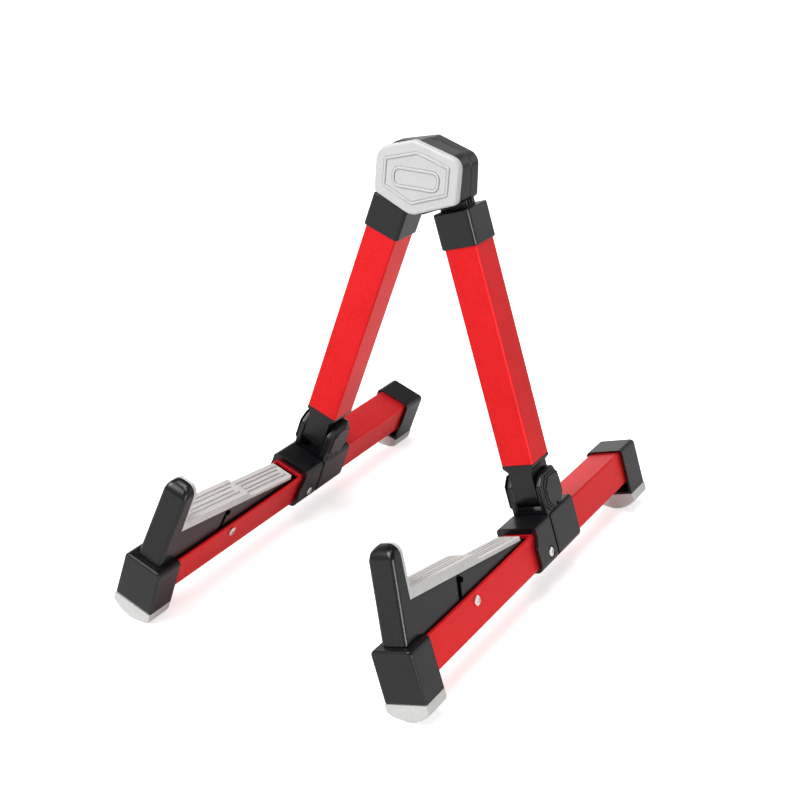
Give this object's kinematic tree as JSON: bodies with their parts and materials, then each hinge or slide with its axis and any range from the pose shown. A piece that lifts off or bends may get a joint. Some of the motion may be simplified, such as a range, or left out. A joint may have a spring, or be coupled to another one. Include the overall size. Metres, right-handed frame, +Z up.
{
  "type": "folding guitar stand",
  "caption": "Folding A-frame floor stand for a guitar: square-tube legs on a hinged head, each on a base bar with a padded cradle arm.",
  "frame": {"origin": "centre of the footprint on the floor, below the middle of the bars", "axes": "+Z up, +Y from the cradle arms' horns towards the rear feet, +X to the stand's right seen from its front"},
  "size_m": [0.1954, 0.274, 0.2427],
  "materials": {
    "red_anodised": "satin red anodised",
    "black_plastic": "fine matte moulded",
    "grey_silicone": "matte silicone",
    "grey_plastic": "satin moulded",
    "zinc_steel": "bright zinc plate"
  },
  "bodies": {
    "left_leg": {"front_hinge_leaf": "black_plastic", "head_cover": "grey_plastic", "hinge_bolt": "zinc_steel", "hinge_washer": "zinc_steel", "hinge_nut": "zinc_steel", "left_leg_tube": "red_anodised", "left_knee_plug": "black_plastic"},
    "right_leg": {"rear_hinge_leaf": "black_plastic", "right_leg_tube": "red_anodised", "right_knee_plug": "black_plastic"},
    "left_base": {"left_base_tube": "red_anodised", "left_front_cap": "black_plastic", "left_rear_cap": "black_plastic", "left_front_foot": "grey_silicone", "left_rear_foot": "grey_silicone", "left_collar_flange": "black_plastic", "left_knee_bracket": "black_plastic", "left_knee_pin": "zinc_steel", "left_knee_cover_inner": "black_plastic", "left_knee_cover_outer": "black_plastic", "left_arm_pivot_barrel": "zinc_steel", "left_arm_pivot_screw": "zinc_steel", "left_arm_rest_barrel": "zinc_steel", "left_arm_rest_screw": "zinc_steel"},
    "left_arm": {"left_cradle_arm": "black_plastic", "left_cradle_pad": "grey_silicone"},
    "right_base": {"right_base_tube": "red_anodised", "right_front_cap": "black_plastic", "right_rear_cap": "black_plastic", "right_front_foot": "grey_silicone", "right_rear_foot": "grey_silicone", "right_collar_flange": "black_plastic", "right_knee_bracket": "black_plastic", "right_knee_pin": "zinc_steel", "right_knee_cover_inner": "black_plastic", "right_knee_cover_outer": "black_plastic", "right_arm_pivot_barrel": "zinc_steel", "right_arm_pivot_screw": "zinc_steel", "right_arm_rest_barrel": "zinc_steel", "right_arm_rest_screw": "zinc_steel"},
    "right_arm": {"right_cradle_arm": "black_plastic", "right_cradle_pad": "grey_silicone"}
  },
  "joints": [
    {"name": "head_hinge", "type": "hinge", "parent": "left_leg", "child": "right_leg", "pos_m": [0, 0.0255, 0.22147], "axis": [0, 1, 0], "range_deg": [0, 36.2]},
    {"name": "left_knee", "type": "hinge", "parent": "left_leg", "child": "left_base", "pos_m": [-0.07087, 0.0255, 0.05015], "axis": [0.9472, 0, -0.3206], "range_deg": [0, 90]},
    {"name": "left_arm_lift", "type": "hinge", "parent": "left_base", "child": "left_arm", "pos_m": [-0.08055, 0.008, 0.02155], "axis": [0.9472, 0, -0.3206], "range_deg": [-6, 0]},
    {"name": "right_knee", "type": "hinge", "parent": "right_leg", "child": "right_base", "pos_m": [0.07087, 0.0255, 0.05015], "axis": [0.9472, 0, 0.3206], "range_deg": [0, 90]},
    {"name": "right_arm_lift", "type": "hinge", "parent": "right_base", "child": "right_arm", "pos_m": [0.08055, 0.008, 0.02155], "axis": [0.9472, 0, 0.3206], "range_deg": [-6, 0]}
  ]
}
